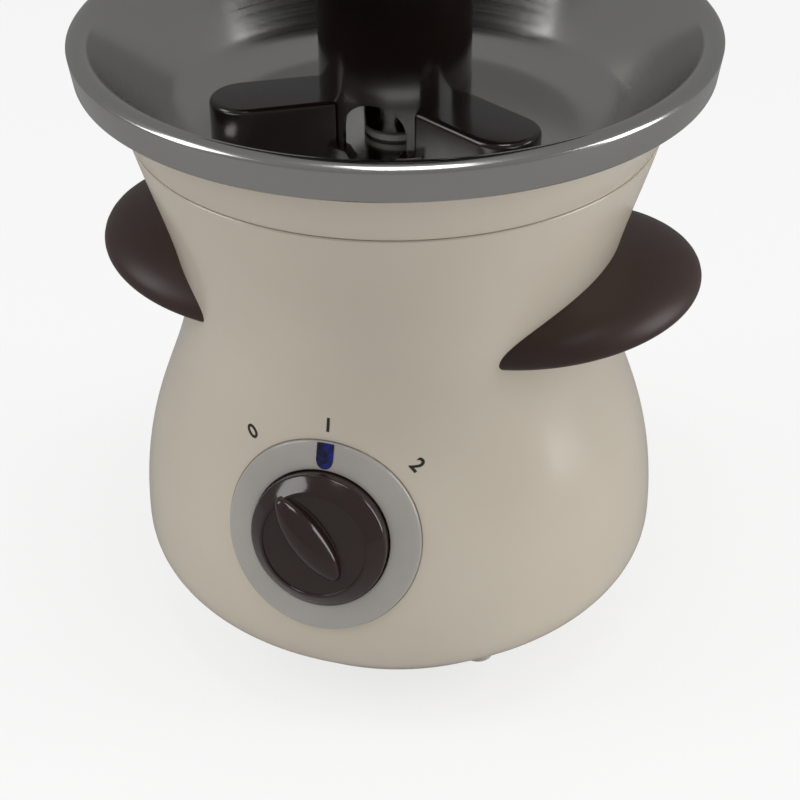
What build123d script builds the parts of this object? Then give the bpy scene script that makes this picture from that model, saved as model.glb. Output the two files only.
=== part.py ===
from build123d import *
import math
import os

# Home chocolate fountain. Millimetres, +Z up, the knob faces -Y.
# The origin is on the table, under the middle of the housing.

# Housing outline, from the table up: each radius, and the rise from the one below.
# A fullness is how far out a middle point stands between the radii on its two sides.
foot_height = 9.0
base_radius = 67.0
flank_fullness = 0.5236
flank_rise = 13.0
belly_radius = 96.6
belly_rise = 22.0
shoulder_fullness = 0.6456
shoulder_rise = 46.0
waist_radius = 76.0
waist_rise = 46.4
neck_spread = 1.2
neck_rise = 13.6
mouth_rise = 51.0
mouth_flare = 15.0
housing_wall = 2.8

base_height = foot_height
flank_height = base_height + flank_rise
belly_height = flank_height + belly_rise
shoulder_height = belly_height + shoulder_rise
waist_height = shoulder_height + waist_rise
neck_height = waist_height + neck_rise
mouth_height = neck_height + mouth_rise
flank_radius = base_radius + flank_fullness * (belly_radius - base_radius)
shoulder_radius = waist_radius + shoulder_fullness * (belly_radius - waist_radius)
neck_radius = waist_radius + neck_spread

# Collar ring that carries the bowl
collar_rise = 21.5
collar_step = 0.5
collar_wall = 2.6
collar_land = 1.46
tongue_depth = 5.0
tongue_gap = 0.3

# Bowl
steel = 0.8
bowl_sink = 6.0
bowl_floor_radius = 61.6
bowl_corner = 24.0
bowl_slope = 54.0
bowl_depth = 37.7
bead_width = 7.3
bead_height = 1.9
skirt_height = 10.1
skirt_taper = 1.4
skirt_curl = 2.4

floor_height = mouth_height - bowl_sink
rim_height = floor_height + bowl_depth
slope = math.radians(bowl_slope)
corner_radius_end = bowl_floor_radius + bowl_corner * math.sin(slope)
corner_height_end = floor_height + bowl_corner * (1 - math.cos(slope))
bead_inner = corner_radius_end + (rim_height - corner_height_end) / math.tan(slope)
rim_radius = bead_inner + bead_width

# The bowl's wall rests in the collar's top edge, and the housing's mouth carries the collar
outer_corner = bowl_corner + steel
wall_foot_radius = bowl_floor_radius + outer_corner * math.sin(slope)
wall_foot_height = floor_height + bowl_corner - outer_corner * math.cos(slope)
collar_top = mouth_height + collar_rise
bowl_seat_radius = wall_foot_radius + (collar_top - wall_foot_height) / math.tan(slope)
collar_spread = collar_rise * math.tan(math.radians(mouth_flare))
mouth_radius = bowl_seat_radius + collar_land - collar_spread + collar_step

# Wing handles
wing_radius = 57.2
wing_offset = 53.0
wing_crest = 16.0
wing_underside = 3.4
wing_skin = 3.0
wing_tilt = 8.1
wing_lift = 6.5
handle_screw_angle = 16.0
handle_screw_rise = 5.0
handle_screw_length = 12.0
handle_boss_radius = 4.4
handle_seat = 4.0

# Dial, bezel, window and knob. Depths are measured outwards along the dial's own axis
dial_rise = 40.6
dial_set = 2.06
bezel_radius = 34.5
bezel_thickness = 1.3
knob_radius = 24.2
knob_gap = 1.0
knob_sink = 3.8
knob_shoulder = 1.6
knob_rim_height = 5.6
knob_face_radius = 19.2
knob_recess = 0.5
knob_skin = 2.0
grip_length = 34.6
grip_shift = 3.0
grip_width = 12.5
grip_height = 11.4
grip_angle = 45.0
well_depth = 7.0
window_width = 6.0
window_margin = 0.7
lens_depth = 6.0
spindle_radius = 3.0
spindle_flat = 0.8
running_gap = 0.05
switch_size = 27.0
switch_depth = 20.0
switch_neck_radius = 4.5
nut_thickness = 2.2

# Fasteners
screw_radius = 1.5
screw_head_radius = 2.9
screw_head_height = 1.8
screw_gap = 0.2

# Base plate and feet
plate_thickness = 2.5
plate_gap = 0.5
foot_radius = 6.5
foot_circle = 58.0
foot_angle = 48.0
foot_stem_radius = 2.5
vent_circle = 34.0
vent_length = 20.0
vent_width = 3.0
vent_count = 12
base_boss_circle = 53.0
base_boss_radius = 4.4
base_boss_length = 22.0
base_screw_length = 14.0
rib_width = 2.4

# Cord inlet at the rear
cord_radius = 3.5
gland_wall = 1.6
gland_flange_radius = 8.5
gland_flange = 3.0
gland_inside = 5.0

# Heater stack, from the bowl's floor down
heater_margin = 1.6
heater_thickness = 6.0
element_margin = 15.0
element_radius = 3.25
element_sweep = 320.0
element_leg = 9.0
spacer_margin = 5.0
spacer_radius = 3.6
upper_spacer = 11.0
lower_spacer = 8.0
shield_margin = 5.0
shield_lip = 5.0
thermostat_radius = 8.0
thermostat_height = 5.0
fuse_radius = 2.0
fuse_length = 13.0
fuse_drop = 0.5

heater_radius = bowl_floor_radius - heater_margin
element_circle = heater_radius - element_margin
spacer_circle = heater_radius - spacer_margin
shield_radius = heater_radius + shield_margin
heater_top = floor_height - steel
heater_bottom = heater_top - heater_thickness
shield_top = heater_bottom - upper_spacer
shield_bottom = shield_top - steel
chassis_thickness = 1.5
chassis_top = shield_bottom - lower_spacer
chassis_bottom = chassis_top - chassis_thickness
chassis_gap = 2.2
chassis_boss_margin = 5.5
chassis_vent_margin = 20.0
chassis_vent_radius = 5.5
chassis_boss_radius = 4.6
chassis_boss_length = 18.0
chassis_screw_length = 11.0

# Shaft seal through the bowl
shaft_radius = 4.0
bush_radius = 7.0
bush_rise = 9.0
bush_flange_radius = 10.8
bush_flange = 2.0
gasket_thickness = 0.8
bush_nut_width = 18.0
bush_nut_height = 5.0
seal_height = 2.6
sensor_circle = (bush_nut_width / math.sqrt(3) + element_circle - element_radius) / 2
coupling_width = 11.0
coupling_height = 10.5
coupling_gap = 0.5

# Gearbox
tooth_module = 1.0
pressure_angle = math.radians(25.0)
backlash = 0.24
pinion_teeth = 12
wheel_teeth = 36
small_teeth = 12
drive_teeth = 36
addendum = 0.9
dedendum = 1.15
case_wall = 2.4
case_depth = 18.0
case_floor = 2.0
cover_thickness = 2.0
gear_gap = 1.2
ear_radius = 4.8
ear_margin = 7.2
pinion_room = 5.0
motor_screw_circle = 8.0
idler_direction = 30.0
motor_direction = 150.0
pin_radius = 1.5
wheel_thickness = 5.0
drive_gear_thickness = 6.0
motor_radius = 15.5
motor_length = 46.0
motor_shaft_radius = 1.5

cover_bottom = chassis_bottom - cover_thickness
case_bottom = cover_bottom - case_depth
wheel_bottom = case_bottom + case_floor + 2.2
small_top = cover_bottom - 0.6
drive_gear_bottom = wheel_bottom + wheel_thickness + 1.3

# Tower
auger_radius = 22.4
auger_gap = 0.8
tube_wall = 2.6
upper_tube_wall = 1.7
tower_ring_radius = 28.8
arm_count = 3
arm_angle = 60.0
arm_circle = 51.0
arm_half_width = 12.5
arm_height = 18.0
arm_skin = 2.4
inlet_width = 22.0
inlet_height = 17.0
seat_rise = 73.0
tier_gap = 0.3
hub_wall = 2.2
tier_skin = 2.0
lower_hub = 50.0
lower_radius = 66.0
middle_hub = 44.0
middle_radius = 51.0
crown_hub = 36.0
crown_radius = 38.0
auger_core = 7.0
auger_foot_core = 11.0
auger_pitch = 26.0
flight_root = 3.2
flight_tip = 1.7

tube_inner = auger_radius + auger_gap
tube_radius = tube_inner + tube_wall
upper_tube_radius = tube_inner + upper_tube_wall
seat_height = floor_height + seat_rise
middle_seat = seat_height + lower_hub
crown_seat = middle_seat + middle_hub
tower_top = crown_seat + crown_hub

UP = (Align.CENTER, Align.CENTER, Align.MIN)


def rod(radius, bottom, top, x=0.0, y=0.0):
    return Pos(x, y, bottom) * Cylinder(radius, top - bottom, align=UP)


def tube(outer, inner, bottom, top, x=0.0, y=0.0):
    return rod(outer, bottom, top, x, y) - rod(inner, bottom, top, x, y)


def turned(*edges):
    return revolve(make_face(Curve() + list(edges)), Axis.Z)


def turned_polygon(*points):
    outline = Polyline(*[(radius, 0, height) for radius, height in points], close=True)
    return revolve(make_face(outline), Axis.Z)


def around(radius, degrees):
    """Point at that radius; 0 degrees is the front and +90 is the right side."""
    angle = math.radians(degrees)
    return radius * math.sin(angle), -radius * math.cos(angle)


def polar(x, y, distance, degrees):
    angle = math.radians(degrees)
    return x + distance * math.cos(angle), y + distance * math.sin(angle)


def screw(x, y, seat, length, radius=screw_radius):
    """Pan head above the seat, shank below it."""
    head = rod(screw_head_radius, seat, seat + screw_head_height, x, y)
    head = fillet(head.edges().group_by(Axis.Z)[-1], 0.7)
    return head + rod(radius, seat - length, seat, x, y)


def hexagon(width, bottom, top, x=0.0, y=0.0):
    face = RegularPolygon(width / 2, 6, major_radius=False)
    return Pos(x, y, bottom) * extrude(face, top - bottom)


def outline_point(radius, height, lean, inset):
    angle = math.radians(lean)
    return (radius - inset * math.cos(angle), 0, height + inset * math.sin(angle))


def housing_outline(inset):
    """Lower and upper curves of the hourglass, moved inwards by the inset."""
    base = outline_point(base_radius, base_height, 70, inset)
    flank = outline_point(flank_radius, flank_height, 45, inset)
    belly = outline_point(belly_radius, belly_height, 0, inset)
    shoulder = outline_point(shoulder_radius, shoulder_height, -12, inset)
    waist = outline_point(waist_radius, waist_height, 0, inset)
    neck = outline_point(neck_radius, neck_height, 0, inset)
    mouth = outline_point(mouth_radius, mouth_height, 0, inset)
    flare = math.radians(mouth_flare)
    lower = Spline(base, flank, belly, tangents=[(1, 0, 0.4), (0, 0, 1)])
    top_direction = (math.sin(flare), 0, math.cos(flare))
    upper = Spline(belly, shoulder, waist, neck, mouth, tangents=[(0, 0, 1), top_direction])
    return lower, upper


def housing_envelope(inset=0.0):
    lower, upper = housing_outline(inset)
    start = lower @ 0
    end = upper @ 1
    floor = Line((0, 0, start.Z), (start.X, 0, start.Z))
    top = Line((end.X, 0, end.Z), (0, 0, end.Z))
    return turned(floor, lower, upper, top, Line((0, 0, end.Z), (0, 0, start.Z)))


def outline_radius(height, inset=0.0):
    """Radius of the housing at a height above the belly, by halving."""
    upper = housing_outline(inset)[1]
    low = 0.0
    high = 1.0
    for _ in range(30):
        middle = (low + high) / 2
        if (upper @ middle).Z < height:
            low = middle
        else:
            high = middle
    return (upper @ low).X


ENVELOPE = housing_envelope()
CAVITY_LIMIT = housing_envelope(housing_wall / 2)

# The dial's own frame: x to the right, y up the housing, z outwards.
# It stands a little steeper than the wall's chord from the bezel's foot to its head.
dial_height = belly_height + dial_rise
bezel_foot = outline_radius(dial_height - bezel_radius)
bezel_head = outline_radius(dial_height + bezel_radius)
pitch = math.atan((bezel_foot - bezel_head) / (2 * bezel_radius)) - math.radians(dial_set)
DIAL = Plane(
    origin=(0, -outline_radius(dial_height), dial_height),
    x_dir=(1, 0, 0),
    z_dir=(0, -math.cos(pitch), math.sin(pitch)),
)
well_radius = knob_radius + knob_gap
bezel_inner = well_radius + 0.4
window_inner = bezel_inner + window_margin

chassis_radius = outline_radius(chassis_bottom, housing_wall) - chassis_gap
chassis_boss_circle = chassis_radius - chassis_boss_margin


def on_dial(shape):
    return DIAL.location * shape


def dial_rod(radius, back, front):
    return on_dial(rod(radius, back, front))


def window_shape(back, front):
    """Slot with a round inner end, open over the bezel's outer edge."""
    half = window_width / 2
    end = window_inner + window_width / 2
    reach = bezel_radius - end
    block = Pos(0, end + reach / 2, back) * Box(2 * half, reach, front - back, align=UP)
    return on_dial(block + rod(half, back, front, 0, end))


def rib_to_wall(circle, degrees, bottom, top):
    length = belly_radius - circle
    rib = Pos(circle + length / 2, 0, bottom) * Box(length, rib_width, top - bottom, align=UP)
    return Rot(0, 0, degrees - 90) * rib


def main_housing():
    shell = ENVELOPE - housing_envelope(housing_wall)
    lower, upper = housing_outline(housing_wall)
    shell -= rod((lower @ 0).X, base_height - 1, base_height + housing_wall * 2)
    shell -= rod((upper @ 1).X, mouth_height - 0.01, mouth_height + 1)
    cup = dial_rod(well_radius + housing_wall, -well_depth - housing_wall, 0)
    inner = Part()
    for degrees in base_screw_angles:
        x, y = around(base_boss_circle, degrees)
        bottom = base_height + plate_thickness
        top = bottom + base_boss_length
        inner += rod(base_boss_radius, bottom, top, x, y)
        inner += rib_to_wall(base_boss_circle, degrees, bottom, top)
    for degrees in chassis_screw_angles:
        x, y = around(chassis_boss_circle, degrees)
        bottom = chassis_bottom - chassis_boss_length
        inner += rod(chassis_boss_radius, bottom, chassis_bottom, x, y)
        inner += rib_to_wall(chassis_boss_circle, degrees, bottom, chassis_bottom)
    for degrees in handle_screw_angles:
        inner += handle_bore(degrees, handle_boss_radius)
    shell += (cup + inner) & CAVITY_LIMIT
    shell += cup & ENVELOPE
    shell -= dial_rod(well_radius, -well_depth, 30)
    shell -= dial_rod(switch_neck_radius, -well_depth - housing_wall - 1, 0)
    shell -= window_shape(-lens_depth - 12, 10)
    for degrees in base_screw_angles:
        x, y = around(base_boss_circle, degrees)
        shell -= rod(screw_radius, base_height, base_height + base_screw_length, x, y)
    for degrees in chassis_screw_angles:
        x, y = around(chassis_boss_circle, degrees)
        shell -= rod(screw_radius, chassis_bottom - chassis_screw_length, chassis_bottom, x, y)
    for degrees in handle_screw_angles:
        shell -= handle_bore(degrees, screw_radius)
        shell -= handle_bore(degrees, handle_boss_radius + 1, 20, waist_radius - housing_wall - handle_seat)
    shell -= Pos(0, belly_radius, belly_height) * Rot(90, 0, 0) * Cylinder(cord_radius + gland_wall, 30)
    return shell


def bowl_underside():
    """Everything above the bowl's lower skin, out to the bead."""
    bottom = floor_height - steel
    rim_x = wall_foot_radius + (rim_height - wall_foot_height) / math.tan(slope)
    floor = Line((0, 0, bottom), (bowl_floor_radius, 0, bottom))
    middle_x = bowl_floor_radius + outer_corner * math.sin(slope / 2)
    middle_z = floor_height + bowl_corner - outer_corner * math.cos(slope / 2)
    end = (wall_foot_radius, 0, wall_foot_height)
    corner = ThreePointArc((bowl_floor_radius, 0, bottom), (middle_x, 0, middle_z), end)
    wall = Line(end, (rim_x, 0, rim_height))
    top = Line((rim_x, 0, rim_height), (0, 0, rim_height))
    return turned(floor, corner, wall, top, Line((0, 0, rim_height), (0, 0, bottom)))


def bowl_inside():
    """The space that the bowl holds."""
    middle_x = bowl_floor_radius + bowl_corner * math.sin(slope / 2)
    middle_z = floor_height + bowl_corner * (1 - math.cos(slope / 2))
    floor = Line((0, 0, floor_height), (bowl_floor_radius, 0, floor_height))
    end = (corner_radius_end, 0, corner_height_end)
    corner = ThreePointArc((bowl_floor_radius, 0, floor_height), (middle_x, 0, middle_z), end)
    wall = Line(end, (bead_inner, 0, rim_height))
    top = Line((bead_inner, 0, rim_height), (0, 0, rim_height))
    return turned(floor, corner, wall, top, Line((0, 0, rim_height), (0, 0, floor_height)))


UNDERSIDE = bowl_underside()


def bowl():
    dish = UNDERSIDE - bowl_inside()
    inner = bead_inner
    outer = rim_radius
    crest = rim_height + bead_height
    lip = rim_height - skirt_height
    low = outer - skirt_taper
    tip = low - skirt_curl
    tip_height = lip - skirt_curl / 2
    bead = turned(
        ThreePointArc((inner, 0, rim_height), ((inner + outer) / 2, 0, crest), (outer, 0, rim_height)),
        Line((outer, 0, rim_height), (low, 0, lip)),
        Line((low, 0, lip), (tip, 0, tip_height)),
        Line((tip, 0, tip_height), (tip, 0, tip_height + steel)),
        Line((tip, 0, tip_height + steel), (low - steel, 0, lip + steel / 2)),
        Line((low - steel, 0, lip + steel / 2), (outer - steel, 0, rim_height - steel)),
        Line((outer - steel, 0, rim_height - steel), (inner, 0, rim_height - steel)),
        Line((inner, 0, rim_height - steel), (inner, 0, rim_height)),
    )
    return dish + bead - rod(bush_radius, floor_height - 2, floor_height + 2)


def bowl_collar():
    low = mouth_radius - collar_step
    high = low + collar_spread
    ring = turned_polygon(
        (low - collar_wall, mouth_height),
        (low - 0.5, mouth_height),
        (low, mouth_height + 0.6),
        (high, collar_top),
        (high - collar_wall, collar_top),
    )
    tongue_radius = outline_radius(mouth_height - tongue_depth, housing_wall) - tongue_gap
    tongue = tube(tongue_radius, tongue_radius - 1.8, mouth_height - tongue_depth, mouth_height)
    bridge = tube(low - collar_wall + 1, tongue_radius - 1.8, mouth_height, mouth_height + 1.8)
    return ring + tongue + bridge - UNDERSIDE


def wing_height(x):
    """Height of the wing's edge plane at that distance from the middle."""
    return waist_height + wing_lift + (x - wing_offset) * math.tan(math.radians(wing_tilt))


def wing_dome(inset, underside):
    """Elliptical dome on the tilted edge plane, flat underneath."""
    edge = wing_radius - inset
    crest = wing_crest - inset
    points = []
    for degrees in (0, 30, 60, 90):
        angle = math.radians(degrees)
        points.append((edge * math.sin(angle), 0, crest * math.cos(angle)))
    over = Spline(*points, tangents=[(1, 0, 0), (0, 0, -1)])
    turn = underside * math.sqrt(0.5)
    middle = (edge - underside + turn, 0, -turn)
    under = ThreePointArc((edge, 0, 0), middle, (edge - underside, 0, -underside))
    floor = Line((edge - underside, 0, -underside), (0, 0, -underside))
    dome = turned(over, under, floor, Line((0, 0, -underside), (0, 0, crest)))
    return Pos(wing_offset, 0, wing_height(wing_offset)) * Rot(0, -wing_tilt, 0) * dome


def handle_bore(degrees, radius, back=0.0, front=None):
    """Level cylinder through the wall into the wing's root."""
    start = waist_radius - 15 if front is None else waist_radius - 15 - back
    end = waist_radius + handle_screw_length if front is None else front
    height = wing_height(waist_radius) + handle_screw_rise
    return Rot(0, 0, degrees - 90) * Pos(start, 0, height) * Rot(0, 90, 0) * rod(radius, 0, end - start)


def handle_web(degrees):
    """Upright web from a screw boss down to the wing's floor."""
    height = wing_height(waist_radius) + handle_screw_rise
    length = handle_screw_length + 15
    web = Box(length, rib_width, handle_screw_rise + wing_underside, align=(Align.MIN, Align.CENTER, Align.MAX))
    return Rot(0, 0, degrees - 90) * Pos(waist_radius - 15, 0, height) * web


def handle(side):
    outer = wing_dome(0, wing_underside)
    wing = outer - wing_dome(wing_skin, wing_underside - 2.4)
    for degrees in handle_screw_angles[:2]:
        wing += (handle_bore(degrees, handle_boss_radius) + handle_web(degrees)) & outer
    for degrees in handle_screw_angles[:2]:
        wing -= handle_bore(degrees, screw_radius)
    wing -= ENVELOPE
    return wing if side > 0 else mirror(wing, Plane.YZ)


def handle_screws():
    height = wing_height(waist_radius) + handle_screw_rise
    seat = waist_radius - housing_wall - handle_seat
    plain = screw(0, 0, 0, waist_radius + handle_screw_length - seat)
    group = []
    for degrees in handle_screw_angles:
        group.append(Rot(0, 0, degrees - 90) * Pos(seat, 0, height) * Rot(0, -90, 0) * plain)
    return Compound(group)


def dial_bezel():
    skin = housing_envelope(-bezel_thickness) - ENVELOPE
    ring = skin & dial_rod(bezel_radius, -15, 10)
    ring -= dial_rod(bezel_inner, -15, 10)
    return ring - window_shape(-15, 10)


def pilot_lens():
    block = window_shape(-lens_depth, 10) & dial_rod(bezel_radius - 0.2, -lens_depth, 10)
    return block & housing_envelope(-bezel_thickness - 0.1)


def pilot_lamp():
    x = 0
    y = window_inner + window_width / 2 + 1
    bulb = rod(window_width / 2 - 0.6, -lens_depth - 9, -lens_depth, x, y)
    base = rod(window_width / 2 - 0.2, -lens_depth - 12, -lens_depth - 9, x, y)
    leads = rod(0.4, -lens_depth - 19, -lens_depth - 12, x - 1.2, y)
    leads += rod(0.4, -lens_depth - 19, -lens_depth - 12, x + 1.2, y)
    return on_dial(bulb + base + leads)


def knob():
    body = turned_polygon(
        (0, -knob_sink),
        (knob_radius, -knob_sink),
        (knob_radius, knob_shoulder),
        (knob_face_radius, knob_rim_height),
        (0, knob_rim_height),
    )
    rings = body.edges().filter_by(GeomType.CIRCLE).sort_by(Axis.Z)
    body = fillet([rings[1]], 1.2)
    floor = knob_rim_height - knob_recess
    body -= rod(knob_face_radius - 0.8, floor, knob_rim_height + 1)
    ceiling = floor - knob_skin
    body -= rod(knob_radius - knob_skin, -knob_sink - 1, ceiling)
    body += rod(spindle_radius + 2.4, -knob_sink, ceiling + 0.5)
    body -= spindle_shape(-knob_sink - 1, ceiling)
    body += grip(floor - 0.5)
    return on_dial(Rot(0, 0, grip_angle) * body)


def grip(bottom):
    """Leaf-shaped finger bar with an arched back, along y."""
    half = grip_length / 2
    belly = grip_width / 2
    sides = [
        ThreePointArc((0, -half), (belly, 0), (0, half)),
        ThreePointArc((0, half), (-belly, 0), (0, -half)),
    ]
    leaf = make_face(Curve() + sides)
    bar = Pos(0, 0, bottom) * extrude(leaf, grip_height - bottom, taper=10)
    arch_radius = (half ** 2 + 5.0 ** 2) / (2 * 5.0)
    arch = Pos(0, 0, grip_height - arch_radius) * Rot(0, 90, 0) * Cylinder(arch_radius, 40)
    bar &= arch
    top = bar.edges().filter_by(lambda edge: edge.center().Z > bottom + 2.2)
    return Pos(0, grip_shift, 0) * fillet(top, 1.4)


def spindle_shape(back, front):
    shaft = rod(spindle_radius, back, front)
    cut = Pos(0, spindle_radius * 2 - spindle_flat, -knob_sink) * Box(20, spindle_radius * 2, 40, align=UP)
    return shaft - cut


def switch_spindle():
    front = knob_rim_height - knob_recess - knob_skin
    back = -well_depth - housing_wall - switch_depth + 3
    return on_dial(Rot(0, 0, grip_angle) * spindle_shape(back, front))


def switch_body():
    back = -well_depth - housing_wall
    box = Pos(0, 0, back - switch_depth) * Box(switch_size, switch_size, switch_depth, align=UP)
    box = fillet(box.edges().filter_by(Axis.Z), 2.0)
    box += rod(switch_neck_radius, back, -well_depth + nut_thickness + 0.6)
    box -= rod(spindle_radius + running_gap, back - switch_depth + 2, 5)
    for x in (-8, 0, 8):
        box += Pos(x, 0, back - switch_depth - 6) * Box(4.8, 0.8, 6.2, align=UP)
    return on_dial(box)


def switch_nut():
    nut = hexagon(13.0, -well_depth, -well_depth + nut_thickness)
    return on_dial(nut - rod(switch_neck_radius, -well_depth - 1, 0))


def base_plate():
    radius = (housing_outline(housing_wall)[0] @ 0).X - plate_gap
    top = base_height + plate_thickness
    plate = rod(radius, base_height, top)
    plate += tube(20, 18, top, top + 2)
    slot = SlotOverall(vent_length, vent_width)
    slots = Sketch() + PolarLocations(vent_circle, vent_count) * slot
    plate -= Pos(0, 0, base_height - 1) * extrude(slots, plate_thickness + 4)
    for x, y in foot_points:
        plate -= rod(foot_stem_radius, base_height, top, x, y)
    for degrees in base_screw_angles:
        x, y = around(base_boss_circle, degrees)
        plate -= rod(screw_radius + screw_gap, base_height, top, x, y)
    return plate


def base_screws():
    group = []
    for degrees in base_screw_angles:
        x, y = around(base_boss_circle, degrees)
        group.append(Pos(x, y, base_height) * Rot(180, 0, 0) * screw(0, 0, 0, base_screw_length))
    return Compound(group)


def rubber_feet():
    group = []
    for x, y in foot_points:
        pad = Cone(foot_radius - 0.6, foot_radius, foot_height, align=UP)
        pad = fillet(pad.edges().sort_by(Axis.Z)[0], 1.0)
        foot = Pos(x, y, 0) * pad
        top = base_height + plate_thickness
        foot += rod(foot_stem_radius, foot_height, top, x, y)
        foot += Pos(x, y, top) * Cone(foot_stem_radius + 0.9, foot_stem_radius - 0.6, 3.0, align=UP)
        group.append(foot)
    return Compound(group)


def cord_gland():
    shank = cord_radius + gland_wall
    back = -gland_inside - housing_wall
    place = Pos(0, belly_radius, belly_height) * Rot(-90, 0, 0)
    flange = Cone(gland_flange_radius, gland_flange_radius - 1.2, gland_flange, align=UP)
    body = place * (flange + rod(gland_flange_radius, -4, 0)) - ENVELOPE
    body += place * rod(shank, back, 0)
    body += place * rod(shank + 1.4, back, back + 2.4)
    return body - place * rod(cord_radius, back - 1, gland_flange + 1)


def heater_plate():
    plate = rod(heater_radius, heater_bottom, heater_top)
    plate = fillet(plate.edges().group_by(Axis.Z)[0], 1.5)
    plate -= rod(bush_radius, heater_bottom - 1, heater_top + 1)
    plate -= Pos(0, 0, heater_bottom) * Torus(element_circle, element_radius)
    for x, y in spacer_points:
        plate -= rod(screw_radius, heater_bottom, heater_bottom + 4, x, y)
    return plate


def heating_element():
    section = Plane.XZ * Pos(element_circle, 0) * Circle(element_radius)
    ring = revolve(section, Axis.Z, element_sweep)
    start = (360 - element_sweep) / 2
    body = Rot(0, 0, start) * ring
    for degrees in (start, -start):
        angle = math.radians(degrees)
        x = element_circle * math.cos(angle)
        y = element_circle * math.sin(angle)
        body += Pos(x, y, 0) * Sphere(element_radius)
        body += rod(element_radius, -element_leg, 0, x, y)
        body += rod(1.2, -element_leg - 3, -element_leg, x, y)
    return Pos(0, 0, heater_bottom) * Rot(0, 0, 90) * body


def thermostat():
    x, y = around(sensor_circle, 120)
    bottom = heater_bottom - thermostat_height
    body = rod(thermostat_radius, bottom, heater_bottom, x, y)
    body += rod(thermostat_radius - 1.5, bottom - 2, bottom, x, y)
    for shift in (-3.5, 3.5):
        body += Pos(x + shift, y, bottom - 8.5) * Box(0.8, 4.0, 7.5, align=UP)
    return body


def fuse_clip():
    x, y = around(sensor_circle, 240)
    block = Box(7, 6, 2 * fuse_radius + 2 * fuse_drop, align=(Align.CENTER, Align.CENTER, Align.MAX))
    block -= Pos(0, 0, -fuse_radius - fuse_drop) * Rot(0, 90, 0) * Cylinder(fuse_radius, 20)
    return Pos(x, y, heater_bottom) * block


def thermal_fuse():
    x, y = around(sensor_circle, 240)
    body = Cylinder(fuse_radius, fuse_length)
    body = fillet(body.edges().filter_by(GeomType.CIRCLE), 0.8)
    body += Cylinder(0.5, fuse_length + 8)
    return Pos(x, y, heater_bottom - fuse_radius - fuse_drop) * Rot(0, 90, 0) * body


def heat_shield():
    pan = rod(shield_radius, shield_bottom, shield_top)
    pan += tube(shield_radius, shield_radius - steel, shield_bottom - shield_lip, shield_bottom)
    pan -= rod(bush_radius + 4, shield_bottom - 1, shield_top + 1)
    for x, y in spacer_points:
        pan -= rod(screw_radius + screw_gap, shield_bottom - 1, shield_top + 1, x, y)
    leg_turn = (360 - element_sweep) / 2
    for degrees in (180 - leg_turn, 180 + leg_turn):
        x, y = around(element_circle, degrees)
        pan -= rod(element_radius + 1.5, shield_bottom - 1, shield_top + 1, x, y)
    x, y = around(sensor_circle, 120)
    pan -= rod(thermostat_radius + 1.5, shield_bottom - 1, shield_top + 1, x, y)
    return pan


def heater_spacers():
    group = []
    for x, y in spacer_points:
        group.append(tube(spacer_radius, screw_radius + screw_gap, shield_top, heater_bottom, x, y))
        group.append(tube(spacer_radius, screw_radius + screw_gap, chassis_top, shield_bottom, x, y))
    return Compound(group)


def heater_screws():
    length = heater_bottom + 4 - chassis_bottom
    group = []
    for x, y in spacer_points:
        group.append(Pos(x, y, chassis_bottom) * Rot(180, 0, 0) * screw(0, 0, 0, length))
    return Compound(group)


def chassis_plate():
    plate = rod(chassis_radius, chassis_bottom, chassis_top)
    plate -= rod(shaft_radius + 4.4, chassis_bottom - 1, chassis_top + 1)
    for x, y in spacer_points + ear_points:
        plate -= rod(screw_radius + screw_gap, chassis_bottom - 1, chassis_top + 1, x, y)
    for degrees in chassis_screw_angles:
        x, y = around(chassis_boss_circle, degrees)
        plate -= rod(screw_radius + screw_gap, chassis_bottom - 1, chassis_top + 1, x, y)
    for degrees in (30, 90, 150, 210, 270, 330):
        x, y = around(chassis_radius - chassis_vent_margin, degrees)
        plate -= rod(chassis_vent_radius, chassis_bottom - 1, chassis_top + 1, x, y)
    return plate


def chassis_screws():
    points = [around(chassis_boss_circle, degrees) for degrees in chassis_screw_angles]
    length = chassis_thickness + chassis_screw_length
    return Compound([screw(x, y, chassis_top, length) for x, y in points])


def shaft_bush():
    top = floor_height + bush_rise
    bottom = heater_bottom - bush_nut_height - 1
    body = rod(bush_radius, bottom, top)
    flange_bottom = floor_height + gasket_thickness
    body += rod(bush_flange_radius, flange_bottom, flange_bottom + bush_flange)
    return body - rod(shaft_radius + running_gap, bottom - 1, top + 1)


def bush_gasket():
    return tube(bush_flange_radius - 0.4, bush_radius, floor_height, floor_height + gasket_thickness)


def bush_nut():
    nut = hexagon(bush_nut_width, heater_bottom - bush_nut_height, heater_bottom)
    return nut - rod(bush_radius, heater_bottom - bush_nut_height, heater_bottom)


def shaft_seal():
    bottom = floor_height + bush_rise
    cap = rod(bush_radius, bottom, bottom + seal_height)
    cap = fillet(cap.edges().group_by(Axis.Z)[-1], 0.9)
    return cap - rod(shaft_radius + running_gap, bottom - 1, bottom + seal_height + 1)


coupling_bottom = floor_height + bush_rise + seal_height + 0.6
coupling_top = coupling_bottom + coupling_height


def drive_shaft():
    top = coupling_top - 2.0
    shaft = rod(shaft_radius, case_bottom - 4.5, top)
    return chamfer(shaft.edges().group_by(Axis.Z)[0], 0.5)


def drive_coupling():
    body = hexagon(coupling_width, coupling_bottom, coupling_top)
    body = chamfer(body.edges().group_by(Axis.Z)[-1], 1.0)
    return body - rod(shaft_radius, coupling_bottom - 1, coupling_top - 2.0)


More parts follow.
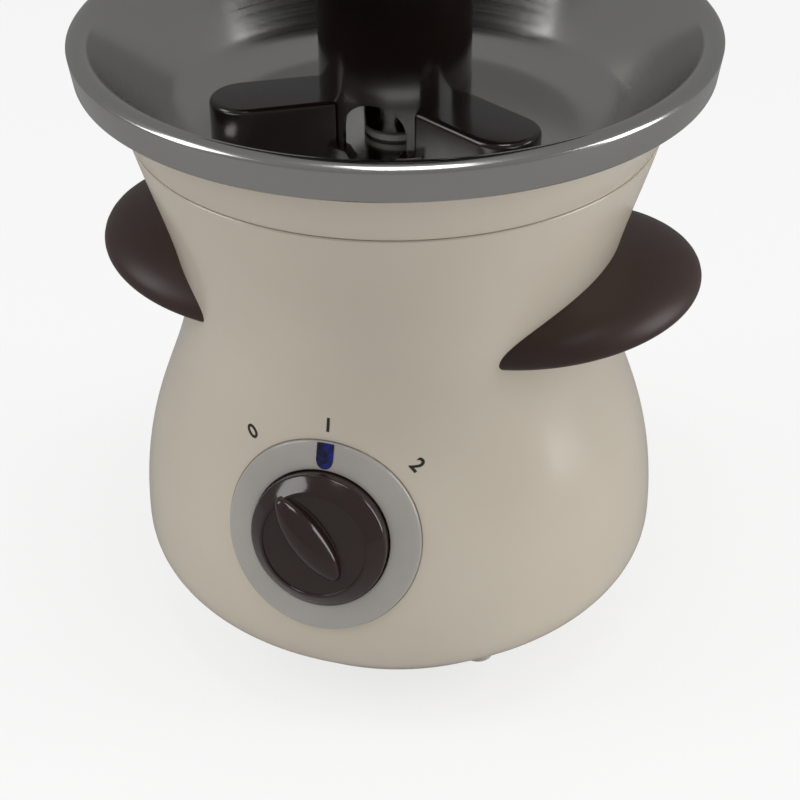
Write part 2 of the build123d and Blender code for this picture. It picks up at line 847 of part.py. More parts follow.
def tooth_points(teeth, centre):
    """One tooth, from its right root to its left root, by the involute of the base circle."""
    pitch_radius = tooth_module * teeth / 2
    base = pitch_radius * math.cos(pressure_angle)
    root = pitch_radius - dedendum * tooth_module
    tip = pitch_radius + addendum * tooth_module
    half = math.pi / (2 * teeth) - backlash / (4 * pitch_radius)
    at_pitch = math.tan(pressure_angle) - pressure_angle
    start = max(base, root)
    flank = [(root, half + at_pitch)] if base > root else []
    for step in range(4):
        radius = start + (tip - start) * step / 3
        roll = math.acos(min(1.0, base / radius))
        flank.append((radius, half + at_pitch - math.tan(roll) + roll))
    right = [(radius, centre - angle) for radius, angle in flank]
    left = [(radius, centre + angle) for radius, angle in reversed(flank)]
    return [(radius * math.cos(angle), radius * math.sin(angle)) for radius, angle in right + left]


def gear(teeth, thickness, bore, phase):
    """Spur gear whose first tooth points along the phase, in degrees."""
    points = []
    for number in range(teeth):
        points += tooth_points(teeth, math.radians(phase) + 2 * math.pi * number / teeth)
    blank = extrude(make_face(Polyline(*points, close=True)), thickness)
    return blank - Cylinder(bore, thickness, align=UP)


idler_distance = tooth_module * (small_teeth + drive_teeth) / 2
motor_distance = tooth_module * (pinion_teeth + wheel_teeth) / 2
idler_x = idler_distance * math.cos(math.radians(idler_direction))
idler_y = idler_distance * math.sin(math.radians(idler_direction))
motor_x = idler_x + motor_distance * math.cos(math.radians(motor_direction))
motor_y = idler_y + motor_distance * math.sin(math.radians(motor_direction))
drive_tip = tooth_module * (drive_teeth / 2 + addendum)
wheel_tip = tooth_module * (wheel_teeth / 2 + addendum)
pinion_tip = tooth_module * (pinion_teeth / 2 + addendum)


def drive_gear():
    wheel = gear(drive_teeth, drive_gear_thickness, shaft_radius, idler_direction)
    wheel = Pos(0, 0, drive_gear_bottom) * wheel
    hub_top = cover_bottom - 0.4
    hub = tube(shaft_radius + 3, shaft_radius, drive_gear_bottom, hub_top)
    for degrees in range(0, 360, 60):
        angle = math.radians(degrees)
        x = 11.5 * math.cos(angle)
        y = 11.5 * math.sin(angle)
        wheel -= rod(2.6, drive_gear_bottom - 1, drive_gear_bottom + drive_gear_thickness + 1, x, y)
    return wheel + hub


def idler_gear():
    bore = pin_radius + running_gap
    gap_phase = idler_direction + 180 + 180 / small_teeth
    wheel = gear(wheel_teeth, wheel_thickness, bore, motor_direction)
    small = gear(small_teeth, small_top - wheel_bottom - wheel_thickness, bore, gap_phase)
    body = Pos(idler_x, idler_y, wheel_bottom) * wheel
    return body + Pos(idler_x, idler_y, wheel_bottom + wheel_thickness) * small


def idler_pin():
    return rod(pin_radius, case_bottom, chassis_bottom, idler_x, idler_y)


def motor_pinion():
    gap_phase = motor_direction + 180 + 180 / pinion_teeth
    body = gear(pinion_teeth, wheel_thickness + 0.9, motor_shaft_radius, gap_phase)
    return Pos(motor_x, motor_y, wheel_bottom - 0.4) * body


def motor_shaft():
    top = wheel_bottom + wheel_thickness + 0.5
    return rod(motor_shaft_radius, case_bottom - 24, top, motor_x, motor_y)


def motor():
    can = rod(motor_radius, case_bottom - motor_length, case_bottom, motor_x, motor_y)
    can = fillet(can.edges().group_by(Axis.Z)[0], 1.5)
    bottom = case_bottom - motor_length
    can += rod(6.0, bottom - 3, bottom, motor_x, motor_y)
    can -= rod(motor_shaft_radius + running_gap, case_bottom - 25, case_bottom, motor_x, motor_y)
    for x, y in motor_screw_points:
        can -= rod(screw_radius, case_bottom - 5, case_bottom, x, y)
    for shift in (-9.5, 9.5):
        can += Pos(motor_x + shift, motor_y, bottom - 5) * Box(0.6, 3.2, 5.5, align=UP)
    return can


def motor_screws():
    seat = case_bottom + case_floor
    group = []
    for x, y in motor_screw_points:
        head = rod(2.6, seat, seat + 1.4, x, y)
        group.append(head + rod(screw_radius, case_bottom - 5, seat, x, y))
    return Compound(group)


def hull(*circles):
    edges = []
    for x, y, radius in circles:
        edges += (Pos(x, y) * Circle(radius)).edges()
    return make_hull(edges)


def gearbox_outline():
    ears = [(x, y, ear_radius) for x, y in ear_points]
    drive = (0, 0, drive_tip + gear_gap + case_wall)
    idler = (idler_x, idler_y, wheel_tip + gear_gap + case_wall)
    return hull(drive, idler, (motor_x, motor_y, pinion_tip + pinion_room + case_wall), *ears)


def gearbox_case():
    body = Pos(0, 0, case_bottom) * extrude(gearbox_outline(), case_depth)
    drive = (0, 0, drive_tip + gear_gap)
    idler = (idler_x, idler_y, wheel_tip + gear_gap)
    pocket = hull(drive, idler, (motor_x, motor_y, pinion_tip + pinion_room))
    body -= Pos(0, 0, case_bottom + case_floor) * extrude(pocket, case_depth)
    body += rod(shaft_radius + 2.8, case_bottom - 4, case_bottom)
    body -= rod(shaft_radius + running_gap, case_bottom - 5, cover_bottom)
    body -= rod(pin_radius, case_bottom, cover_bottom, idler_x, idler_y)
    body -= rod(motor_shaft_radius + 1.5, case_bottom, cover_bottom, motor_x, motor_y)
    for x, y in motor_screw_points:
        body -= rod(screw_radius, case_bottom, case_bottom + case_floor, x, y)
    for x, y in ear_points:
        body -= rod(screw_radius, cover_bottom - 10, cover_bottom, x, y)
    return body


def gearbox_cover():
    body = Pos(0, 0, cover_bottom) * extrude(gearbox_outline(), cover_thickness)
    body += rod(shaft_radius + 4, chassis_bottom, chassis_top + 3)
    body -= rod(shaft_radius + running_gap, cover_bottom - 1, chassis_top + 4)
    body -= rod(pin_radius, cover_bottom - 1, chassis_bottom + 1, idler_x, idler_y)
    for x, y in ear_points:
        body -= rod(screw_radius + screw_gap, cover_bottom - 1, chassis_bottom + 1, x, y)
    return body


def gearbox_screws():
    length = chassis_thickness + cover_thickness + 9
    return Compound([screw(x, y, chassis_top, length) for x, y in ear_points])


def terminal_block():
    bottom = base_height + plate_thickness
    body = Box(30, 12, 11, align=UP)
    for x in (-10, 0, 10):
        body -= Pos(x, 0, 6) * Cylinder(2.2, 6, align=UP)
        body -= Pos(x, 0, 3.5) * Rot(90, 0, 0) * Cylinder(1.6, 14)
    return Pos(0, 0, bottom) * body


def auger():
    foot = floor_height + 4.0
    socket_bottom = coupling_bottom - 0.4
    socket_top = coupling_top
    top = tower_top + 2.0
    core = turned_polygon(
        (0, foot),
        (auger_foot_core, foot),
        (auger_foot_core, socket_top + 6),
        (auger_core, socket_top + 20),
        (auger_core, top - 9),
        (auger_core - 2.2, top - 1.8),
        (auger_core - 4.2, top),
        (0, top),
    )
    core -= rod(bush_radius + 0.9, foot - 1, socket_bottom)
    core -= hexagon(coupling_width + 2 * coupling_gap, socket_bottom, socket_top)
    root = auger_core - 1.0
    section = Polyline(
        (root, 0, foot),
        (auger_radius, 0, foot + (flight_root - flight_tip) / 2),
        (auger_radius, 0, foot + (flight_root + flight_tip) / 2),
        (root, 0, foot + flight_root),
        close=True,
    )
    height = tower_top - 6 - flight_root - foot
    path = Pos(0, 0, foot) * Helix(auger_pitch, height, (root + auger_radius) / 2)
    flight = sweep(make_face(section), path, is_frenet=True)
    flight -= rod(auger_foot_core - 1, foot - 10, socket_top + 8)
    flight &= rod(auger_radius, foot, top)
    return core + flight


def tower_base():
    bottom = floor_height
    body = rod(tube_radius, bottom, seat_height) + rod(upper_tube_radius, seat_height, tower_top - 6)
    body += rod(tower_ring_radius, bottom, bottom + 3)
    top = floor_height + arm_height
    for number in range(arm_count):
        turn = Rot(0, 0, arm_angle - 90 + number * 360 / arm_count)
        body += turn * arm(arm_half_width, bottom, top)
    body -= rod(tube_inner, bottom - 1, tower_top)
    for number in range(arm_count):
        turn = Rot(0, 0, arm_angle - 90 + number * 360 / arm_count)
        body -= turn * arm(arm_half_width - arm_skin, bottom - 1, top - arm_skin)
    for number in range(arm_count):
        turn = Rot(0, 0, arm_angle + 90 + number * 360 / arm_count)
        body -= turn * inlet(bottom + 3)
    relief = bowl_floor_radius - 0.4
    return body - tube(relief + 10, relief, bottom, bottom + 1)


def arm(half_width, bottom, top):
    """Rounded arm that runs out along +x, rounded over at its top edge."""
    length = arm_circle - tube_inner
    bar = Box(length, 2 * half_width, top - bottom, align=UP)
    bar = Pos(tube_inner + length / 2, 0, bottom) * bar
    bar += rod(half_width, bottom, top, arm_circle, 0)
    if half_width == arm_half_width:
        upper = bar.edges().group_by(Axis.Z)[-1].filter_by(lambda edge: edge.center().X > tube_radius + 4)
        bar = fillet(upper, 2.0)
        bar &= rod(bowl_floor_radius + 4, bottom, top)
    return bar


def inlet(bottom):
    """Arched opening through the tube's wall, along +x."""
    half = inlet_width / 2
    straight = inlet_height - half
    block = Pos(tube_inner, 0, bottom) * Box(20, inlet_width, straight, align=UP)
    return block + Pos(tube_inner, 0, bottom + straight) * Rot(0, 90, 0) * Cylinder(half, 20)


def tier(seat, hub_length, radius, rise, start_rise):
    """Hub that slides over the tube, with an umbrella skirt."""
    inner = upper_tube_radius + tier_gap
    outer = inner + hub_wall
    reach = radius - outer
    top_points = [
        (outer - 0.5, 0, seat + start_rise),
        (outer + 0.45 * reach, 0, seat + start_rise - 0.22 * rise),
        (outer + 0.85 * reach, 0, seat + start_rise - 0.62 * rise),
        (radius, 0, seat + start_rise - rise),
    ]
    tangents = [(1, 0, -0.05), (0.18, 0, -1)]
    over = Spline(*top_points, tangents=tangents)
    under = Spline(*[(x - tier_skin * 0.6, y, z - tier_skin) for x, y, z in top_points], tangents=tangents)
    skirt = turned(
        over,
        Line(over @ 1, under @ 1),
        under,
        Line(under @ 0, over @ 0),
    )
    hub = rod(outer, seat, seat + hub_length)
    return hub + skirt - rod(inner, seat - 1, seat + hub_length + 1)


def crown_tier():
    body = tier(crown_seat, crown_hub, crown_radius, 14.0, 16.0)
    inner = upper_tube_radius + tier_gap
    outer = inner + hub_wall
    lip = turned_polygon(
        (inner, tower_top - 5),
        (outer, tower_top - 5),
        (outer + 4.5, tower_top - 1.4),
        (outer + 4.5, tower_top),
        (outer + 3.2, tower_top),
        (inner, tower_top - 3),
    )
    body -= rod(outer + 10, tower_top - 4, tower_top + 1)
    return body + lip


base_screw_angles = [0, 90, 180, 270]
chassis_screw_angles = [60, 180, 300]
handle_turns = (-handle_screw_angle, handle_screw_angle)
handle_screw_angles = [side + turn for side in (90, 270) for turn in handle_turns]
foot_turns = (-foot_angle, foot_angle)
foot_points = [around(foot_circle, side + turn) for side in (0, 180) for turn in foot_turns]
spacer_points = [around(spacer_circle, degrees) for degrees in (0, 120, 240)]
ear_points = [
    polar(0, 0, drive_tip + gear_gap + ear_margin, 217),
    polar(idler_x, idler_y, wheel_tip + gear_gap + ear_margin, -20),
    polar(motor_x, motor_y, pinion_tip + pinion_room + ear_margin, 125),
]
motor_screw_points = [polar(motor_x, motor_y, motor_screw_circle, degrees) for degrees in (97, 202)]

NODES = {
    "main_housing": main_housing,
    "bowl_collar": bowl_collar,
    "bowl": bowl,
    "right_handle": lambda: handle(1),
    "left_handle": lambda: handle(-1),
    "handle_screws": handle_screws,
    "dial_bezel": dial_bezel,
    "pilot_lens": pilot_lens,
    "pilot_lamp": pilot_lamp,
    "knob": knob,
    "switch_spindle": switch_spindle,
    "switch_body": switch_body,
    "switch_nut": switch_nut,
    "base_plate": base_plate,
    "base_screws": base_screws,
    "rubber_feet": rubber_feet,
    "cord_gland": cord_gland,
    "chassis_plate": chassis_plate,
    "chassis_screws": chassis_screws,
    "heat_shield": heat_shield,
    "heater_spacers": heater_spacers,
    "heater_screws": heater_screws,
    "heater_plate": heater_plate,
    "heating_element": heating_element,
    "thermostat": thermostat,
    "thermal_fuse": thermal_fuse,
    "fuse_clip": fuse_clip,
    "shaft_bush": shaft_bush,
    "bush_gasket": bush_gasket,
    "bush_nut": bush_nut,
    "shaft_seal": shaft_seal,
    "motor": motor,
    "motor_screws": motor_screws,
    "motor_shaft": motor_shaft,
    "motor_pinion": motor_pinion,
    "gearbox_case": gearbox_case,
    "gearbox_cover": gearbox_cover,
    "gearbox_screws": gearbox_screws,
    "idler_gear": idler_gear,
    "idler_pin": idler_pin,
    "drive_gear": drive_gear,
    "drive_shaft": drive_shaft,
    "drive_coupling": drive_coupling,
    "terminal_block": terminal_block,
    "auger": auger,
    "tower_base": tower_base,
    "lower_tier": lambda: tier(seat_height, lower_hub, lower_radius, 24.0, 27.0),
    "middle_tier": lambda: tier(middle_seat, middle_hub, middle_radius, 20.0, 23.0),
    "crown_tier": crown_tier,
}

os.makedirs("parts", exist_ok=True)
for name, make in NODES.items():
    export_step(make(), f"parts/{name}.step")
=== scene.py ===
import math

import bmesh
import bpy
from mathutils import Matrix, Vector
from mathutils.bvhtree import BVHTree
from mathutils.geometry import interpolate_bezier


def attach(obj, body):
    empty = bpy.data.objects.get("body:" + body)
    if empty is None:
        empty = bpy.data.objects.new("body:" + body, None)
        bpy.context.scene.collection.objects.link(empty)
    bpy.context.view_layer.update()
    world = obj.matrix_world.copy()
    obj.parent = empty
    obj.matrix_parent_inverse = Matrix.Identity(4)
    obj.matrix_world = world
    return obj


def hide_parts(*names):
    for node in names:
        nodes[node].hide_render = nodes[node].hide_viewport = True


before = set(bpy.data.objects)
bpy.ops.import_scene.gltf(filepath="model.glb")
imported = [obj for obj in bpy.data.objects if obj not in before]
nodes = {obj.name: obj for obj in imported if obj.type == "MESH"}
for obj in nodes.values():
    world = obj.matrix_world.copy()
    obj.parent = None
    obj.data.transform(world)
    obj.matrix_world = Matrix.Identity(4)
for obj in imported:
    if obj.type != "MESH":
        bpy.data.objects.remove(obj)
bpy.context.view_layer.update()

print("frame loaded:", len(nodes), "nodes")


def linear(hexText):
    # sRGB hex to the linear values that the shaders take
    channels = [int(hexText[i:i + 2], 16) / 255 for i in (1, 3, 5)]
    values = [c / 12.92 if c <= 0.04045 else ((c + 0.055) / 1.055) ** 2.4 for c in channels]
    return (*values, 1.0)


def newMaterial(name, colour, roughness, metallic=0.0, ior=1.5, coat=0.0, coatRoughness=0.05):
    material = bpy.data.materials.new(name)
    material.use_nodes = True
    shader = material.node_tree.nodes["Principled BSDF"]
    shader.inputs["Base Color"].default_value = linear(colour)
    shader.inputs["Roughness"].default_value = roughness
    shader.inputs["Metallic"].default_value = metallic
    shader.inputs["IOR"].default_value = ior
    shader.inputs["Coat Weight"].default_value = coat
    shader.inputs["Coat Roughness"].default_value = coatRoughness
    return material


def addNode(material, kind, settings=None, links=None):
    # links: input name -> value, or (node, output name)
    tree = material.node_tree
    node = tree.nodes.new(kind)
    for key, value in (settings or {}).items():
        setattr(node, key, value)
    for key, value in (links or {}).items():
        if isinstance(value, tuple) and isinstance(value[0], bpy.types.Node):
            tree.links.new(value[0].outputs[value[1]], node.inputs[key])
        else:
            node.inputs[key].default_value = value
    return node


def toShader(material, socket, node, output):
    shader = material.node_tree.nodes["Principled BSDF"]
    material.node_tree.links.new(node.outputs[output], shader.inputs[socket])


def varyColour(material, noise, low, high):
    # each end of the ramp is a position and a colour
    ramp = addNode(material, "ShaderNodeValToRGB", None, {"Fac": (noise, "Fac")})
    for element, (position, colour) in zip(ramp.color_ramp.elements, (low, high)):
        element.position = position
        element.color = linear(colour)
    toShader(material, "Base Color", ramp, "Color")


def varyRoughness(material, noise, middle, spread):
    gloss = addNode(material, "ShaderNodeMapRange", None,
                    {"Value": (noise, "Fac"), "From Min": 0.3, "From Max": 0.7,
                     "To Min": middle - spread, "To Max": middle + spread})
    toShader(material, "Roughness", gloss, "Result")


def finePattern(material, noise, strength, depth):
    bump = addNode(material, "ShaderNodeBump", None,
                   {"Height": (noise, "Fac"), "Strength": strength, "Distance": depth})
    toShader(material, "Normal", bump, "Normal")


def mouldedPlastic(name, look):
    # colour drift over the moulding, a faint orange-peel skin and a changing gloss
    material = newMaterial(name, look["colour"], look["roughness"], coat=look["coat"],
                           coatRoughness=look["coatRoughness"])
    place = addNode(material, "ShaderNodeTexCoord")
    drift = addNode(material, "ShaderNodeTexNoise", {"noise_dimensions": "3D"},
                    {"Vector": (place, "Object"), "Scale": 1 / look["driftSize"], "Detail": 2.0})
    varyColour(material, drift, (0.3, look["colourDark"]), (0.7, look["colour"]))
    varyRoughness(material, drift, look["roughness"], look["glossDrift"])
    skin = addNode(material, "ShaderNodeTexNoise", {"noise_dimensions": "3D"},
                   {"Vector": (place, "Object"), "Scale": 1 / look["skinSize"], "Detail": 1.0})
    finePattern(material, skin, look["skinStrength"], look["skinDepth"])
    return material


# glossy cream ABS, injection moulded: an even skin with soft broad reflections
creamAbs = mouldedPlastic("creamMouldedAbs", {
    "colour": "#CBC1B1", "colourDark": "#C5BBAB", "roughness": 0.24, "glossDrift": 0.03,
    "coat": 0.25, "coatRoughness": 0.12, "driftSize": 0.07,
    "skinSize": 0.0035, "skinStrength": 0.06, "skinDepth": 0.0002})

# dark brown ABS with a satin polish, for the wing handles
brownAbs = mouldedPlastic("brownSatinAbs", {
    "colour": "#3A2822", "colourDark": "#33231E", "roughness": 0.42, "glossDrift": 0.04,
    "coat": 0.0, "coatRoughness": 0.2, "driftSize": 0.04,
    "skinSize": 0.0012, "skinStrength": 0.12, "skinDepth": 0.0001})

# dark brown ABS from a polished mould, for the knob
brownGloss = mouldedPlastic("brownPolishedAbs", {
    "colour": "#2B1C18", "colourDark": "#261815", "roughness": 0.16, "glossDrift": 0.03,
    "coat": 0.5, "coatRoughness": 0.06, "driftSize": 0.02,
    "skinSize": 0.0025, "skinStrength": 0.05, "skinDepth": 0.0001})

# near-black food-safe polypropylene of the tower, glossy where it is washed
towerPlastic = mouldedPlastic("darkTowerPolypropylene", {
    "colour": "#1E1412", "colourDark": "#1A110F", "roughness": 0.2, "glossDrift": 0.04,
    "coat": 0.3, "coatRoughness": 0.08, "driftSize": 0.03,
    "skinSize": 0.003, "skinStrength": 0.06, "skinDepth": 0.0001})

# silver-grey lacquer on the dial ring: a smooth pearly face
silverLacquer = mouldedPlastic("silverLacquer", {
    "colour": "#ABA7A1", "colourDark": "#A39F99", "roughness": 0.2, "glossDrift": 0.03,
    "coat": 0.6, "coatRoughness": 0.05, "driftSize": 0.03,
    "skinSize": 0.002, "skinStrength": 0.03, "skinDepth": 0.0001})

# soft pale rubber of the feet
paleRubber = mouldedPlastic("paleRubber", {
    "colour": "#CFC8BA", "colourDark": "#C4BDAF", "roughness": 0.6, "glossDrift": 0.05,
    "coat": 0.0, "coatRoughness": 0.3, "driftSize": 0.01,
    "skinSize": 0.0008, "skinStrength": 0.2, "skinDepth": 0.0001})

# matt black plastic of the gearbox and the cord inlet
blackPlastic = mouldedPlastic("blackMattPlastic", {
    "colour": "#1D1C1B", "colourDark": "#181716", "roughness": 0.5, "glossDrift": 0.05,
    "coat": 0.0, "coatRoughness": 0.3, "driftSize": 0.02,
    "skinSize": 0.0009, "skinStrength": 0.15, "skinDepth": 0.0001})

# white glass-filled nylon of the switch, the gears and the bush
whiteNylon = mouldedPlastic("whiteNylon", {
    "colour": "#D9D7D0", "colourDark": "#CFCDC6", "roughness": 0.45, "glossDrift": 0.05,
    "coat": 0.0, "coatRoughness": 0.3, "driftSize": 0.01,
    "skinSize": 0.0007, "skinStrength": 0.15, "skinDepth": 0.0001})

# grey silicone of the seal and the gasket
greySilicone = mouldedPlastic("greySilicone", {
    "colour": "#6B6A68", "colourDark": "#5F5E5C", "roughness": 0.55, "glossDrift": 0.05,
    "coat": 0.0, "coatRoughness": 0.3, "driftSize": 0.01,
    "skinSize": 0.0008, "skinStrength": 0.15, "skinDepth": 0.0001})


def turnedMetal(name, look):
    # fine rings left by spinning, drawn by height and radius about the upright axis
    material = newMaterial(name, look["colour"], look["roughness"], 1.0)
    place = addNode(material, "ShaderNodeTexCoord")
    split = addNode(material, "ShaderNodeSeparateXYZ", None, {"Vector": (place, "Object")})
    squareX = addNode(material, "ShaderNodeMath", {"operation": "POWER"}, {0: (split, "X"), 1: 2.0})
    squareY = addNode(material, "ShaderNodeMath", {"operation": "POWER"}, {0: (split, "Y"), 1: 2.0})
    total = addNode(material, "ShaderNodeMath", {"operation": "ADD"}, {0: (squareX, "Value"), 1: (squareY, "Value")})
    radius = addNode(material, "ShaderNodeMath", {"operation": "SQRT"}, {0: (total, "Value")})
    rings = addNode(material, "ShaderNodeCombineXYZ", None, {"X": (radius, "Value"), "Z": (split, "Z")})
    lines = addNode(material, "ShaderNodeTexNoise", {"noise_dimensions": "3D"},
                    {"Vector": (rings, "Vector"), "Scale": 1 / look["lineSpacing"], "Detail": 3.0})
    varyRoughness(material, lines, look["roughness"], look["lineGloss"])
    finePattern(material, lines, look["lineStrength"], look["lineDepth"])
    return material


# spun and polished 18/10 stainless steel; the rings are 0.4 mm apart, coarser than real so that they show
bowlSteel = turnedMetal("spunStainlessSteel", {
    "colour": "#C4C3C0", "roughness": 0.19, "lineSpacing": 0.0004, "lineGloss": 0.05,
    "lineStrength": 0.08, "lineDepth": 0.00005})


def plainMetal(name, look):
    # rolled or plated stock with a cloudy grain
    material = newMaterial(name, look["colour"], look["roughness"], 1.0)
    place = addNode(material, "ShaderNodeTexCoord")
    cloud = addNode(material, "ShaderNodeTexNoise", {"noise_dimensions": "3D"},
                    {"Vector": (place, "Object"), "Scale": 1 / look["grainSize"], "Detail": 3.0})
    varyRoughness(material, cloud, look["roughness"], 0.06)
    return material


# zinc-plated steel of the screws, the chassis and the shield
zincSteel = plainMetal("zincPlatedSteel", {"colour": "#B4B6B8", "roughness": 0.32, "grainSize": 0.002})
# ground steel of the shafts
groundSteel = plainMetal("groundSteel", {"colour": "#BDBDBE", "roughness": 0.18, "grainSize": 0.001})
# die-cast aluminium of the heater plate
castAluminium = plainMetal("castAluminium", {"colour": "#B9BABB", "roughness": 0.45, "grainSize": 0.003})
# heat-tinted sheath of the heating element
tintedSheath = plainMetal("heatTintedSheath", {"colour": "#6E6660", "roughness": 0.4, "grainSize": 0.004})
# brass of the bush nut
plainBrass = plainMetal("plainBrass", {"colour": "#C9A45A", "roughness": 0.28, "grainSize": 0.002})


def blueWindow():
    # deep blue cast acrylic: dark in its depth, with lighter blue clouds painted into the colour as a gleam of the
    # lamp behind
    material = newMaterial("blueAcrylicWindow", "#141A6E", 0.1, ior=1.49, coat=0.5, coatRoughness=0.03)
    place = addNode(material, "ShaderNodeTexCoord")
    paintedGleam = addNode(material, "ShaderNodeTexNoise", {"noise_dimensions": "3D"},
                     {"Vector": (place, "Object"), "Scale": 1 / 0.0045, "Detail": 3.0, "Roughness": 0.7})
    # the lighter blue end of the ramp is a painted gleam, not light from a lamp
    varyColour(material, paintedGleam, (0.4, "#05061A"), (0.75, "#1626A0"))
    return material


blueAcrylic = blueWindow()
# clear lamp and fuse glass
lampGlass = newMaterial("lampGlass", "#E6D8C8", 0.08, 0.0, 1.5)
lampGlass.node_tree.nodes["Principled BSDF"].inputs["Transmission Weight"].default_value = 0.8
# black-brown pad-printing ink of the dial numerals
printInk = newMaterial("padPrintInk", "#2B2522", 0.45)
print("materials made")

mm = 0.001


def splineSpans(points, startWay, endWay):
    # a smooth cubic through points in x and z, as Bezier spans, leaving its ends in the ways given;
    # the end slopes are as large as those of the parabola through the first three points
    points = [Vector(point) for point in points]
    gaps = [(after - before).length for before, after in zip(points, points[1:])]
    chords = [(after - before) / gap for before, after, gap in zip(points, points[1:], gaps)]
    bend = (chords[1] - chords[0]) / (gaps[0] + gaps[1])
    ends = []
    for way, along in ((Vector(startWay), 0.0), (Vector(endWay), sum(gaps))):
        parabola = chords[0] + bend * (2 * along - gaps[0])
        ends.append(way * (abs(parabola.x) + abs(parabola.y)) / (abs(way.x) + abs(way.y)))
    slopes = [ends[0], *chords[1:], ends[1]]
    for sweep in range(40):
        for index in range(1, len(points) - 1):
            before, after = gaps[index - 1:index + 1]
            pull = 3 * (after * chords[index - 1] + before * chords[index])
            pull -= after * slopes[index - 1] + before * slopes[index + 1]
            slopes[index] = pull / (2 * (before + after))
    return [(points[i], points[i] + slopes[i] * gap / 3, points[i + 1] - slopes[i + 1] * gap / 3, points[i + 1])
            for i, gap in enumerate(gaps)]


def bezierProfile(spans, steps):
    # points in x and z along joined Bezier spans, each span (start, handle, handle, end) in mm
    points = []
    for start, first, second, end in spans:
        corners = [Vector((x * mm, 0, z * mm)) for x, z in (start, first, second, end)]
        run = interpolate_bezier(*corners, steps + 1)
        points += run if not points else run[1:]
    return points


def arcProfile(centre, radius, startAngle, endAngle, steps):
    # points on an arc in the xz plane, mm and degrees
    points = []
    for step in range(steps + 1):
        angle = math.radians(startAngle + (endAngle - startAngle) * step / steps)
        points.append(Vector(((centre[0] + radius * math.cos(angle)) * mm, 0,
                              (centre[1] + radius * math.sin(angle)) * mm)))
    return points


def linePoints(*pairs):
    return [Vector((x * mm, 0, z * mm)) for x, z in pairs]


def spunShape(profile, segments):
    # a closed loop of profile points spun once round the z axis, with no edge drawn along the axis
    shape = bmesh.new()
    verts = [shape.verts.new(point) for point in profile]
    pairs = zip(verts, verts[1:] + verts[:1])
    edges = [shape.edges.new(pair) for pair in pairs if max(abs(pair[0].co.x), abs(pair[1].co.x)) > 0.000001]
    bmesh.ops.spin(shape, geom=verts + edges, cent=(0, 0, 0), axis=(0, 0, 1), dvec=(0, 0, 0),
                   angle=math.tau, steps=segments, use_merge=True, use_duplicate=False)
    bmesh.ops.remove_doubles(shape, verts=shape.verts, dist=0.00001)
    bmesh.ops.recalc_face_normals(shape, faces=shape.faces)
    return shape


def finishPiece(name, shape, material, body, sharpAngle=35.0, stands=()):
    mesh = bpy.data.meshes.new(name)
    if isinstance(shape, bmesh.types.BMesh):
        shape.to_mesh(mesh)
        shape.free()
    else:
        mesh = shape
        mesh.name = name
    kept = mesh.attributes.get("custom_normal")
    if kept:
        mesh.attributes.remove(kept)
    mesh.shade_smooth()
    mesh.set_sharp_from_angle(angle=math.radians(sharpAngle))
    mesh.materials.clear()
    mesh.materials.append(material)
    piece = bpy.data.objects.new(name, mesh)
    bpy.context.scene.collection.objects.link(piece)
    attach(piece, body)
    if stands:
        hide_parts(*stands)
    return piece


def smoothCopy(name, node, material, body, sharpAngle=32.0):
    # the CAD solid again, merged so that its curved faces shade smoothly
    shape = bmesh.new()
    shape.from_mesh(nodes[node].data)
    bmesh.ops.remove_doubles(shape, verts=shape.verts, dist=0.000002)
    return finishPiece(name, shape, material, body, sharpAngle, (node,))


def cutShape(target, cutter, operation="DIFFERENCE"):
    # exact boolean of two bmesh shapes, as a new mesh
    made = []
    for label, shape in (("cutTarget", target), ("cutTool", cutter)):
        mesh = bpy.data.meshes.new(label)
        shape.to_mesh(mesh)
        shape.free()
        made.append(bpy.data.objects.new(label, mesh))
        bpy.context.scene.collection.objects.link(made[-1])
    modifier = made[0].modifiers.new("cut", "BOOLEAN")
    modifier.object = made[1]
    modifier.operation = operation
    modifier.solver = "EXACT"
    graph = bpy.context.evaluated_depsgraph_get()
    result = bpy.data.meshes.new_from_object(made[0].evaluated_get(graph))
    for item in made:
        bpy.data.objects.remove(item)
    return result


# hourglass housing, from the foot ring to the collar: radius and height at each turn of its outline
housing = {
    "foot": (67.0, 9.0), "flank": (82.5, 22.0), "belly": (96.6, 44.0), "shoulder": (89.3, 90.0),
    "waist": (76.0, 136.4), "neck": (77.2, 150.0), "mouth": (91.0, 201.0), "footWay": (1.0, 0.4), "mouthFlare": 15.0,
    "wall": 2.8, "steps": 14, "segments": 192, "edgeRound": 0.4,
    "wellRadius": 25.2, "wellDepth": 7.0, "wellSegments": 96, "cupWall": 2.8, "cupTop": 3.2, "cupShoulder": 5.5,
    "switchHole": 4.5,
}
# the dial's own frame: x right, y up the housing, z outwards
dial = {"centre": (0.0, -91.019, 84.6), "pitch": 12.3}
pitch = math.radians(dial["pitch"])
dialOut = Vector((0, -math.cos(pitch), math.sin(pitch)))
dialUp = Vector((0, math.sin(pitch), math.cos(pitch)))
dialFrame = Matrix.Translation(Vector(dial["centre"]) * mm) @ Matrix((
    (1, 0, 0, 0), (0, dialUp.y, dialOut.y, 0), (0, dialUp.z, dialOut.z, 0), (0, 0, 0, 1)))


def wallProfile(outline, wall):
    # the same line moved inwards by the wall, square to itself
    inner = []
    for index, point in enumerate(outline):
        before = outline[max(index - 1, 0)]
        after = outline[min(index + 1, len(outline) - 1)]
        along = (after - before).normalized()
        inner.append(point + Vector((-along.z, 0, along.x)) * wall * mm)
    return inner


